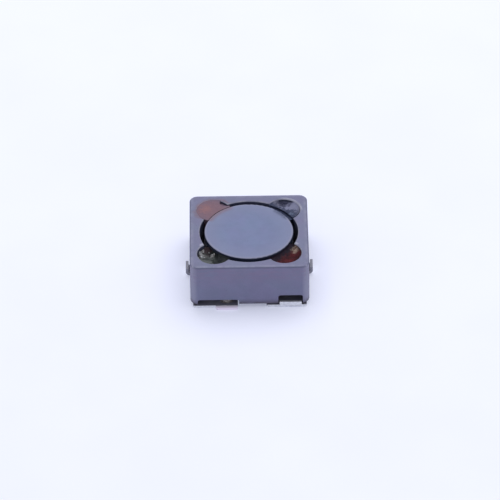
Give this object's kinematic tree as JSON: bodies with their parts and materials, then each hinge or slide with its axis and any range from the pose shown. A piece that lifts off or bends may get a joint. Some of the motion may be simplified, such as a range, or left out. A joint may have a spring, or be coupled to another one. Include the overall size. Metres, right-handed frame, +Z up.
{
  "type": "shielded surface-mount power inductor",
  "caption": "Square shielded surface-mount power inductor with a wound ferrite drum inside a ferrite shield core, on flat solder terminals.",
  "frame": {"origin": "on the board plane, under the middle of the part", "axes": "+Z up from the board, +X from the left terminal to the right one, -Y to the front, where the left terminal has its wire end and the right one its lip"},
  "size_m": [0.007, 0.0068, 0.0028],
  "materials": {
    "drum_ferrite": "fine ground grey ferrite, matte with a faint sheen",
    "shield_ferrite": "sintered dark grey ferrite, matte and finely grained",
    "enamelled_copper": "glossy dark red enamel over copper wire",
    "tinned_strip": "matte tin plate over phosphor bronze",
    "solder": "bright soft solder, slightly dulled",
    "brown_epoxy": "cured reddish brown epoxy, matte and grainy",
    "grey_epoxy": "cured grey epoxy, satin",
    "clear_epoxy": "thin amber epoxy film"
  },
  "bodies": {
    "root": {"drum_core": "drum_ferrite", "shield_core": "shield_ferrite", "winding": "enamelled_copper", "terminal_left": "tinned_strip", "terminal_right": "tinned_strip", "solder_left": "solder", "solder_right": "solder", "adhesive_back_left": "brown_epoxy", "adhesive_back_right": "grey_epoxy", "adhesive_front_left": "grey_epoxy", "adhesive_front_right": "brown_epoxy", "bond_left": "clear_epoxy", "bond_right": "clear_epoxy"}
  },
  "joints": []
}
